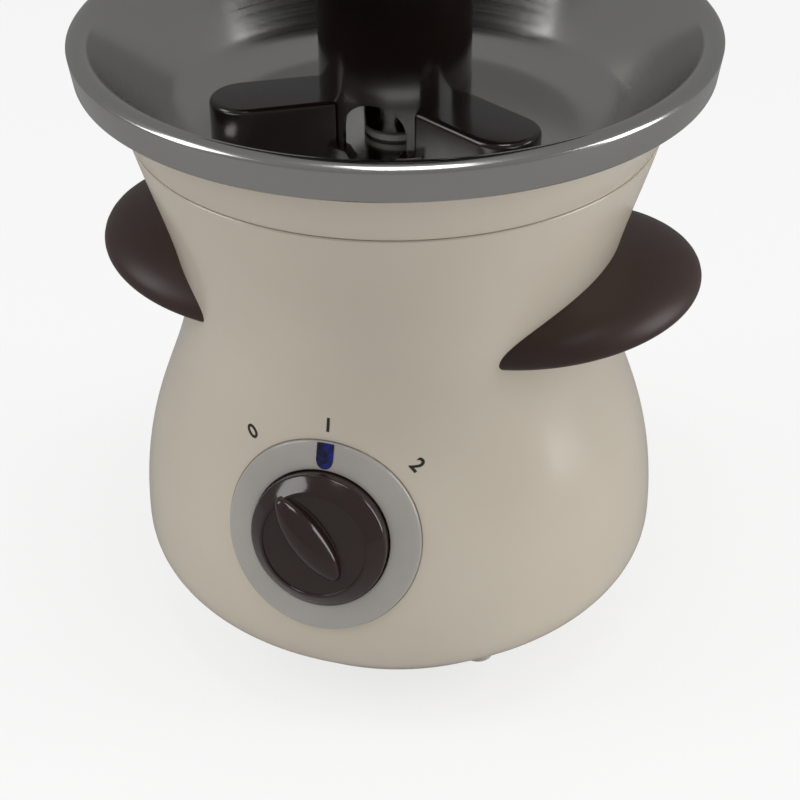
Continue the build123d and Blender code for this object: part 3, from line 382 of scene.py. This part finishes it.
flare = math.radians(housing["mouthFlare"])
lowerSpans = splineSpans([housing[part] for part in ("foot", "flank", "belly")], housing["footWay"], (0, 1))
upperSpans = splineSpans([housing[part] for part in ("belly", "shoulder", "waist", "neck", "mouth")],
                         (0, 1), (math.sin(flare), math.cos(flare)))
outline = bezierProfile(lowerSpans + upperSpans, housing["steps"])
innerLine = wallProfile(outline, housing["wall"])
innerLine[0].z = outline[0].z
innerLine[-1].z = outline[-1].z
roundOff = housing["edgeRound"] * mm
topRound = [outline[-1] + Vector((-roundOff * 0.27, 0, -roundOff)), outline[-1] + Vector((-roundOff, 0, 0))]
shell = spunShape(outline[:-1] + topRound + innerLine[::-1], housing["segments"])
housingTree = BVHTree.FromBMesh(shell)


def onHousing(x, y, proud):
    # the point that stands proud of the housing by that much, over (x, y) of the dial's frame, all in mm
    start = dialFrame @ Vector((x * mm, y * mm, 0.03))
    hit = housingTree.ray_cast(start, -dialOut)[0]
    return hit + dialOut * proud * mm


def layOnHousing(shape, unit=1.0):
    # a shape drawn flat takes the housing's curve, its z is how proud it stands
    for vert in shape.verts:
        vert.co = onHousing(*(vert.co * unit))


# ring round the knob, and the fine joint between it and the housing
bezel = {"outer": 34.5, "inner": 24.6, "thickness": 1.3, "edgeRound": 0.5, "sink": 0.5, "rings": 8, "segments": 160,
         "jointWidth": 0.35, "jointDepth": 0.45, "cutHeight": 3.0}
jointInner = bezel["outer"]
jointOuter = bezel["outer"] + bezel["jointWidth"]
cutter = spunShape(linePoints((jointInner, -bezel["jointDepth"]), (jointOuter, -bezel["jointDepth"]),
                              (jointOuter, bezel["cutHeight"]), (jointInner, bezel["cutHeight"])), bezel["segments"])
layOnHousing(cutter, 1 / mm)
reach = housing["wellRadius"]
plug = bmesh.ops.create_cone(cutter, cap_ends=True, segments=housing["wellSegments"], radius1=reach * mm,
                             radius2=reach * mm, depth=0.06)
bmesh.ops.transform(cutter, matrix=dialFrame, verts=plug["verts"])
finishPiece("housingShell", cutShape(shell, cutter), creamAbs, "base", 40.0, ("main_housing",))

# cup of the knob well, behind the ring
cupOuter = reach + housing["cupWall"]
cupBack = housing["wellDepth"] + housing["cupWall"]
cup = spunShape(linePoints(
    (reach, -housing["cupTop"]), (reach, -housing["wellDepth"]), (housing["switchHole"], -housing["wellDepth"]),
    (housing["switchHole"], -cupBack), (cupOuter, -cupBack), (cupOuter, -housing["cupShoulder"])),
    housing["wellSegments"])
bmesh.ops.transform(cup, matrix=dialFrame, verts=cup.verts)
finishPiece("knobWell", cup, creamAbs, "base", 35.0, ())
print("housing made")

# the ring is a lacquered skin that follows the housing
ringSide = bezel["thickness"] - bezel["edgeRound"]
ringCorner = bezel["edgeRound"] * 0.3
ringLine = [(bezel["outer"], -bezel["sink"]), (bezel["outer"], ringSide)]
ringLine.append((bezel["outer"] - ringCorner, bezel["thickness"] - ringCorner))
for step in range(bezel["rings"] + 1):
    spread = (bezel["outer"] - bezel["inner"] - 2 * bezel["edgeRound"]) * step / bezel["rings"]
    ringLine.append((bezel["outer"] - bezel["edgeRound"] - spread, bezel["thickness"]))
ringLine.append((bezel["inner"] + ringCorner, bezel["thickness"] - ringCorner))
ringLine += [(bezel["inner"], ringSide), (bezel["inner"], -bezel["sink"])]
ring = spunShape([Vector((x, 0, z)) for x, z in ringLine], bezel["segments"])
layOnHousing(ring)
finishPiece("dialRing", ring, silverLacquer, "base", 40.0, ("dial_bezel",))

# blue window: a slot with a round inner end, open to the ring's edge
window = {"halfWidth": 3.0, "innerEnd": 25.2, "outerEnd": 34.3, "top": 1.45, "sink": 0.4,
          "columns": 12, "rows": 16}
pane = bmesh.new()
bmesh.ops.create_grid(pane, x_segments=window["columns"], y_segments=window["rows"], size=0.5)
for vert in pane.verts:
    across = vert.co.x * 2 * window["halfWidth"]
    sweep = math.sqrt(max(window["halfWidth"] ** 2 - across ** 2, 0))
    low = window["innerEnd"] + window["halfWidth"] - sweep
    high = math.sqrt(window["outerEnd"] ** 2 - across ** 2)
    vert.co = Vector((across, low + (high - low) * (vert.co.y + 0.5), window["top"]))
raised = bmesh.ops.extrude_face_region(pane, geom=pane.faces[:])
for vert in [item for item in raised["geom"] if isinstance(item, bmesh.types.BMVert)]:
    vert.co.z = -window["sink"]
layOnHousing(pane)
bmesh.ops.recalc_face_normals(pane, faces=pane.faces)
finishPiece("pilotWindow", pane, blueAcrylic, "base", 35.0, ("pilot_lens",))

# plain numerals in pad-printed ink, at the knob's three places
numerals = {"height": 4.8, "capShare": 0.7, "stroke": 0.17, "depth": 0.07,
            "places": [("0", -42.0, 42.0), ("1", 0.0, 40.0), ("2", 46.0, 42.0)]}
for digit, angle, radius in numerals["places"]:
    text = bpy.data.curves.new("numeral" + digit, "FONT")
    text.body = digit
    text.size = numerals["height"] / numerals["capShare"]
    text.align_x = "CENTER"
    text.align_y = "CENTER"
    text.resolution_u = 6
    text.offset = numerals["stroke"]
    text.extrude = numerals["depth"]
    holder = bpy.data.objects.new("numeralHolder", text)
    bpy.context.scene.collection.objects.link(holder)
    graph = bpy.context.evaluated_depsgraph_get()
    flat = bpy.data.meshes.new_from_object(holder.evaluated_get(graph))
    bpy.data.objects.remove(holder)
    sign = bmesh.new()
    sign.from_mesh(flat)
    turned = Matrix.Rotation(math.radians(-angle), 4, "Z") @ Matrix.Translation((0, radius, 0))
    bmesh.ops.transform(sign, matrix=turned, verts=sign.verts)
    layOnHousing(sign)
    finishPiece("dialNumeral" + digit, sign, printInk, "base", 35.0, ())
print("dial made")

# collar ring under the bowl, a shade smaller than the housing's mouth so that the joint shows as a fine line
collar = {"low": 90.5, "middle": (93.4, 211.8), "high": 96.26, "bottom": 201.0, "top": 222.5, "wall": 2.6,
          "innerMiddle": (89.4, 212.5), "edgeRound": 0.6, "lean": 0.16, "lipDrop": 1.5, "segments": 192}
collarLine = linePoints(
    (collar["low"] - collar["wall"], collar["bottom"]), (collar["low"] - collar["edgeRound"], collar["bottom"]),
    (collar["low"] - collar["edgeRound"] * 0.25, collar["bottom"] + collar["edgeRound"] * 0.3),
    (collar["low"] + collar["lean"], collar["bottom"] + collar["edgeRound"]), collar["middle"],
    (collar["high"], collar["top"]), (collar["high"] - collar["wall"], collar["top"] - collar["lipDrop"]),
    collar["innerMiddle"])
finishPiece("collarRing", spunShape(collarLine, collar["segments"]), creamAbs, "base", 35.0,
            ("bowl_collar",))

# bowl: flat floor, round corner, cone, rolled bead and a turned-down skirt with its lip curled in
bowl = {"hole": 7.0, "floor": 195.0, "flat": 61.6, "corner": 24.0, "slope": 54.0, "rim": 232.7, "inner": 101.22,
        "outer": 108.52, "bead": 1.9, "skirt": 222.6, "taper": 1.4, "curl": 2.4, "sheet": 0.8, "steps": 12,
        "floorRing": 30, "segments": 256}
bowlFloor = bowl["floor"]
cornerCentre = (bowl["flat"], bowlFloor + bowl["corner"])
skirtFoot = bowl["outer"] - bowl["taper"]
curlFoot = skirtFoot - bowl["curl"]
beadHalf = (bowl["outer"] - bowl["inner"]) / 2
beadRadius = (beadHalf ** 2 + bowl["bead"] ** 2) / (2 * bowl["bead"])
beadCentre = (bowl["inner"] + beadHalf, bowl["rim"] + bowl["bead"] - beadRadius)
beadAngle = math.degrees(math.asin(beadHalf / beadRadius))
upperSide = linePoints((bowl["hole"], bowlFloor), (bowl["floorRing"], bowlFloor),
                       (bowl["flat"] - 1, bowlFloor))
upperSide += arcProfile(cornerCentre, bowl["corner"], -90, -90 + bowl["slope"], bowl["steps"])
upperSide += linePoints((bowl["inner"] - 0.4, bowl["rim"] - 0.55))
upperSide += arcProfile(beadCentre, beadRadius, 90 + beadAngle, 90 - beadAngle, bowl["steps"])
upperSide += linePoints((bowl["outer"] - 0.1, bowl["rim"] - 0.8), (skirtFoot + 0.1, bowl["skirt"] + 0.7),
                        (skirtFoot - 0.15, bowl["skirt"] + 0.1), (skirtFoot - 0.7, bowl["skirt"] - 0.4),
                        (curlFoot, bowl["skirt"] - bowl["curl"] / 2))
lowerSide = linePoints((curlFoot, bowl["skirt"] - bowl["curl"] / 2 + bowl["sheet"]),
                       (skirtFoot - bowl["sheet"], bowl["skirt"] + bowl["sheet"] / 2),
                       (bowl["outer"] - bowl["sheet"], bowl["rim"] - bowl["sheet"]),
                       (bowl["inner"] + 0.5, bowl["rim"] - bowl["sheet"]))
lowerSide += arcProfile(cornerCentre, bowl["corner"] + bowl["sheet"], -90 + bowl["slope"], -90, bowl["steps"])
lowerSide += linePoints((bowl["floorRing"], bowlFloor - bowl["sheet"]), (bowl["hole"], bowlFloor - bowl["sheet"]))
finishPiece("steelBowl", spunShape(upperSide + lowerSide, bowl["segments"]), bowlSteel, "base", 50.0,
            ("bowl",))
print("bowl made")

# wing handles: an elliptical dome on a plane that rises outwards, cut by the housing
wing = {"radius": 55.4, "crest": 17.0, "underside": 3.4, "offset": 53.9, "edgeHeight": 142.5, "tilt": 7.9,
        "segments": 160, "steps": 20, "underSteps": 8, "underRing": 30}
for side, name, node in ((1, "rightWing", "right_handle"), (-1, "leftWing", "left_handle")):
    over = []
    for step in range(wing["steps"] + 1):
        angle = math.radians(90 * step / wing["steps"])
        over.append((wing["radius"] * math.sin(angle), wing["crest"] * math.cos(angle)))
    under = []
    for step in range(1, wing["underSteps"] + 1):
        angle = math.radians(90 * step / wing["underSteps"])
        under.append((wing["radius"] - wing["underside"] * (1 - math.cos(angle)),
                      -wing["underside"] * math.sin(angle)))
    flat = linePoints((wing["underRing"], -wing["underside"]), (0, -wing["underside"]))
    dome = spunShape(linePoints(*over, *under) + flat, wing["segments"])
    tilt = Matrix.Rotation(math.radians(-wing["tilt"]) * side, 4, "Y")
    place = Matrix.Translation((side * wing["offset"] * mm, 0, wing["edgeHeight"] * mm)) @ tilt
    bmesh.ops.transform(dome, matrix=place, verts=dome.verts)
    bite = spunShape([Vector((0, 0, outline[0].z)), *outline, Vector((0, 0, outline[-1].z))], housing["segments"])
    finishPiece(name, cutShape(dome, bite), brownAbs, "base", 40.0, (node,))
print("wings made")

# tower tiers: an umbrella that falls from the hub to its rim, and the hub that slides over the tube
tiers = {
    "lowerTier": {"node": "lower_tier", "seat": 268.0, "hub": 50.0, "radius": 66.0, "peak": 27.0, "fall": 24.0},
    "middleTier": {"node": "middle_tier", "seat": 318.0, "hub": 44.0, "radius": 51.0, "peak": 23.0, "fall": 20.0},
    "crownTier": {"node": "crown_tier", "seat": 362.0, "hub": 32.0, "radius": 38.0, "peak": 16.0, "fall": 14.0},
}
tierShape = {"inner": 25.2, "outer": 27.4, "skin": 2.0, "edgeRound": 0.3, "segments": 160, "steps": 10,
             "overlap": 0.5, "startWay": (1.0, -0.05), "endWay": (0.18, -1.0)}
# places on an umbrella, as shares of its reach and of its fall
tierPlaces = [(0.45, 0.22), (0.85, 0.62), (1.0, 1.0)]
crownBrim = [(30.6, 398.0), (31.5, 398.0), (31.9, 397.6), (31.9, 396.6), (28.2, 393.6)]
hubOuter = tierShape["outer"]
edgeRound = tierShape["edgeRound"]
for name, tier in tiers.items():
    peak = tier["seat"] + tier["peak"]
    reach = tier["radius"] - hubOuter
    points = [(hubOuter - tierShape["overlap"], peak)]
    points += [(hubOuter + out * reach, peak - down * tier["fall"]) for out, down in tierPlaces]
    over = bezierProfile(splineSpans(points, tierShape["startWay"], tierShape["endWay"]), tierShape["steps"])
    drop = Vector((-tierShape["skin"] * 0.6 * mm, 0, -tierShape["skin"] * mm))
    under = [point + drop for point in over]
    top = tier["seat"] + tier["hub"]
    over = [point for point in over if point.x > (hubOuter + 0.6) * mm]
    under = [point for point in under if point.x > (hubOuter + 0.4) * mm]
    head = linePoints((tierShape["inner"], top), (hubOuter - edgeRound, top), (hubOuter, top - edgeRound))
    if name == "crownTier":
        head = linePoints((tierShape["inner"], 395.0), *crownBrim, (hubOuter, 392.4))
    root = over[0] + Vector((-0.6 * mm, 0, 0.35 * mm))
    fillet = [Vector((hubOuter * mm, 0, root.z + 1.6 * mm)), root]
    foot = linePoints((hubOuter, tier["seat"] + edgeRound), (hubOuter - edgeRound, tier["seat"]),
                      (tierShape["inner"], tier["seat"]))
    shape = spunShape(head + fillet + over + under[::-1] + foot, tierShape["segments"])
    finishPiece(name, shape, towerPlastic, tier["node"], 35.0, (tier["node"],))
print("tiers made")

# knob: a domed skirt with a shallow face, and a long finger grip rounded over its back and at its ends
knob = {"radius": 24.2, "foot": -3.8, "shoulder": 1.6, "face": 19.2, "faceHeight": 5.6, "recess": 0.5, "lip": 0.8,
        "gripHalf": 17.3, "gripWidth": 6.6, "gripTop": 11.4, "gripFall": 4.6, "gripShift": 3.0, "angle": 41.0,
        "roundness": 2.1, "fullness": 0.58, "noseShare": 0.12, "footSpread": 0.35, "shoulderRound": 1.6,
        "footRound": 0.4, "faceRing": 12.0, "along": 56, "across": 22, "segments": 160}
faceFloor = knob["faceHeight"] - knob["recess"]
lipEdge = knob["face"] - knob["lip"]
knobLine = linePoints((0, knob["foot"]), (knob["radius"] - knob["footRound"], knob["foot"]),
                      (knob["radius"], knob["foot"] + knob["footRound"]))
knobLine += arcProfile((knob["radius"] - knob["shoulderRound"], knob["shoulder"] - 1.0),
                       knob["shoulderRound"], 0, 50, 6)
knobLine += linePoints((knob["face"] + 0.35, knob["faceHeight"] - 0.22), (knob["face"], knob["faceHeight"]),
                       (lipEdge + 0.15, knob["faceHeight"]), (lipEdge, knob["faceHeight"] - 0.15),
                       (lipEdge - 0.1, faceFloor), (knob["faceRing"], faceFloor), (0, faceFloor))
knobShape = spunShape(knobLine, knob["segments"])
archRadius = (knob["gripHalf"] ** 2 + knob["gripFall"] ** 2) / (2 * knob["gripFall"])
sections = []
for step in range(knob["along"] + 1):
    y = -knob["gripHalf"] * math.cos(math.pi * step / knob["along"])
    narrowing = max(1 - (y / knob["gripHalf"]) ** 2, 0.0001)
    halfWidth = knob["gripWidth"] * narrowing ** knob["fullness"]
    rounding = min(1, math.sqrt(narrowing / knob["noseShare"]))
    height = (knob["gripTop"] - archRadius + math.sqrt(archRadius ** 2 - y ** 2) - faceFloor) * rounding
    foot = halfWidth + knob["footSpread"]
    line = [(foot, faceFloor - 0.3), (foot, faceFloor + 0.02)]
    bend = 2 / knob["roundness"]
    for part in range(knob["across"] + 1):
        angle = math.pi * part / knob["across"]
        x = math.copysign(abs(math.cos(angle)) ** bend, math.cos(angle)) * halfWidth
        line.append((x, faceFloor + 0.2 + math.sin(angle) ** bend * (height - 0.2)))
    line += [(-foot, faceFloor + 0.02), (-foot, faceFloor - 0.3)]
    sections.append([knobShape.verts.new((x * mm, (y + knob["gripShift"]) * mm, z * mm)) for x, z in line])
for first, second in zip(sections, sections[1:]):
    for part in range(len(first)):
        after = (part + 1) % len(first)
        knobShape.faces.new((first[part], first[after], second[after], second[part]))
knobShape.faces.new(sections[0])
knobShape.faces.new(sections[-1][::-1])
bmesh.ops.recalc_face_normals(knobShape, faces=knobShape.faces)
turned = dialFrame @ Matrix.Rotation(math.radians(knob["angle"]), 4, "Z")
bmesh.ops.transform(knobShape, matrix=turned, verts=knobShape.verts)
finishPiece("knobPiece", knobShape, brownGloss, "knob", 38.0, ("knob",))
print("knob made")

# the tube, the auger, the feet, the inlet and the bottom cover keep the solids' own shapes
smoothCopy("towerTube", "tower_base", towerPlastic, "tower")
smoothCopy("liftScrew", "auger", towerPlastic, "auger")
smoothCopy("feetPads", "rubber_feet", paleRubber, "base")
smoothCopy("cordInlet", "cord_gland", blackPlastic, "base")
smoothCopy("bottomCover", "base_plate", creamAbs, "base")

finishes = {
    greySilicone: ["bush_gasket", "shaft_seal"],
    blackPlastic: ["gearbox_case", "gearbox_cover"],
    whiteNylon: ["switch_body", "terminal_block", "shaft_bush", "drive_coupling", "idler_gear", "drive_gear"],
    zincSteel: ["handle_screws", "base_screws", "chassis_screws", "heater_screws", "gearbox_screws", "motor_screws",
                "chassis_plate", "heat_shield", "heater_spacers", "switch_nut", "fuse_clip", "motor", "motor_pinion"],
    groundSteel: ["switch_spindle", "drive_shaft", "motor_shaft", "idler_pin"],
    castAluminium: ["heater_plate"],
    tintedSheath: ["heating_element", "thermostat"],
    plainBrass: ["bush_nut"],
    lampGlass: ["pilot_lamp", "thermal_fuse"],
}
for material, names in finishes.items():
    for name in names:
        slots = nodes[name].material_slots
        for slot in slots:
            slot.material = material
        if not slots:
            nodes[name].data.materials.append(material)
print("finishes given")

# camera, matched to the photograph
view = {"target": (0.0, 0.0, 0.07625), "distance": 0.6864, "azimuth": 17.5, "elevation": 34.32,
        "roll": -0.51, "lens": 81.0, "shiftX": 0.002, "shiftY": 0.018}
turn = math.radians(view["azimuth"])
rise = math.radians(view["elevation"])
offset = Vector((math.cos(rise) * math.sin(turn), -math.cos(rise) * math.cos(turn), math.sin(rise)))
cameraData = bpy.data.cameras.new("camera")
cameraData.lens = view["lens"]
cameraData.sensor_width = 36.0
cameraData.shift_x = view["shiftX"]
cameraData.shift_y = view["shiftY"]
cameraData.clip_start = 0.01
camera = bpy.data.objects.new("camera", cameraData)
bpy.context.scene.collection.objects.link(camera)
camera.location = Vector(view["target"]) + offset * view["distance"]
aim = (-offset).to_track_quat("-Z", "Y").to_matrix()
camera.rotation_euler = (aim @ Matrix.Rotation(math.radians(view["roll"]), 3, "Z")).to_euler()
bpy.context.scene.camera = camera

# pale floor, near white where the camera sees it and dimmer in the reflections
floorMesh = bpy.data.meshes.new("floor")
shape = bmesh.new()
bmesh.ops.create_grid(shape, x_segments=1, y_segments=1, size=4.0)
shape.to_mesh(floorMesh)
shape.free()
floor = bpy.data.objects.new("floor", floorMesh)
bpy.context.scene.collection.objects.link(floor)
floorPaint = newMaterial("paleFloor", "#EEEEEE", 0.7)
lightPath = addNode(floorPaint, "ShaderNodeLightPath")
seen = addNode(floorPaint, "ShaderNodeMath", {"operation": "ADD"},
               {0: (lightPath, "Is Camera Ray"), 1: (lightPath, "Is Glossy Ray")})
level = addNode(floorPaint, "ShaderNodeMapRange", None,
                {"Value": (lightPath, "Is Camera Ray"), "To Min": 0.14, "To Max": 1.0})
glow = addNode(floorPaint, "ShaderNodeEmission", None, {"Color": (1, 1, 1, 1), "Strength": (level, "Result")})
mixed = addNode(floorPaint, "ShaderNodeMixShader")
shader = floorPaint.node_tree.nodes["Principled BSDF"]
output = floorPaint.node_tree.nodes["Material Output"]
share = addNode(floorPaint, "ShaderNodeMath", {"operation": "MULTIPLY", "use_clamp": True},
                {0: (seen, "Value"), 1: 0.75})
floorPaint.node_tree.links.new(share.outputs["Value"], mixed.inputs["Fac"])
floorPaint.node_tree.links.new(shader.outputs["BSDF"], mixed.inputs[1])
floorPaint.node_tree.links.new(glow.outputs["Emission"], mixed.inputs[2])
floorPaint.node_tree.links.new(mixed.outputs["Shader"], output.inputs["Surface"])
floorMesh.materials.append(floorPaint)

# soft studio light: the sky is white where the camera sees it and dimmer in the reflections
world = bpy.data.worlds.new("studio")
bpy.context.scene.world = world
world.use_nodes = True
tree = world.node_tree
sky = tree.nodes["Background"]
sky.inputs["Color"].default_value = (1, 1, 1, 1)
path = tree.nodes.new("ShaderNodeLightPath")
seenSky = tree.nodes.new("ShaderNodeMath")
seenSky.operation = "MAXIMUM"
tree.links.new(path.outputs["Is Camera Ray"], seenSky.inputs[0])
tree.links.new(path.outputs["Is Transmission Ray"], seenSky.inputs[1])
bright = tree.nodes.new("ShaderNodeMath")
bright.operation = "MULTIPLY_ADD"
bright.inputs[1].default_value = 0.46
bright.inputs[2].default_value = 0.54
tree.links.new(seenSky.outputs[0], bright.inputs[0])
strength = tree.nodes.new("ShaderNodeMath")
strength.operation = "MULTIPLY_ADD"
strength.inputs[1].default_value = -0.3
tree.links.new(path.outputs["Is Glossy Ray"], strength.inputs[0])
tree.links.new(bright.outputs[0], strength.inputs[2])
tree.links.new(strength.outputs[0], sky.inputs["Strength"])


def softLamp(name, azimuth, elevation, distance, size, power):
    data = bpy.data.lights.new(name, "AREA")
    data.shape = "RECTANGLE"
    data.size = size[0]
    data.size_y = size[1]
    data.energy = power
    lamp = bpy.data.objects.new(name, data)
    bpy.context.scene.collection.objects.link(lamp)
    turn = math.radians(azimuth)
    rise = math.radians(elevation)
    away = Vector((math.cos(rise) * math.sin(turn), -math.cos(rise) * math.cos(turn), math.sin(rise)))
    lamp.location = Vector((0, 0, 0.12)) + away * distance
    lamp.rotation_euler = away.to_track_quat("Z", "Y").to_euler()


softLamp("keyLamp", -62, 34, 1.3, (0.5, 0.8), 4.2)
softLamp("fillLamp", 98, 18, 1.3, (0.5, 1.0), 6.5)
softLamp("topLamp", 30, 78, 1.4, (0.5, 0.5), 3.8)
print("stage set")

bpy.context.scene.view_settings.view_transform = "Standard"
bpy.context.view_layer.update()
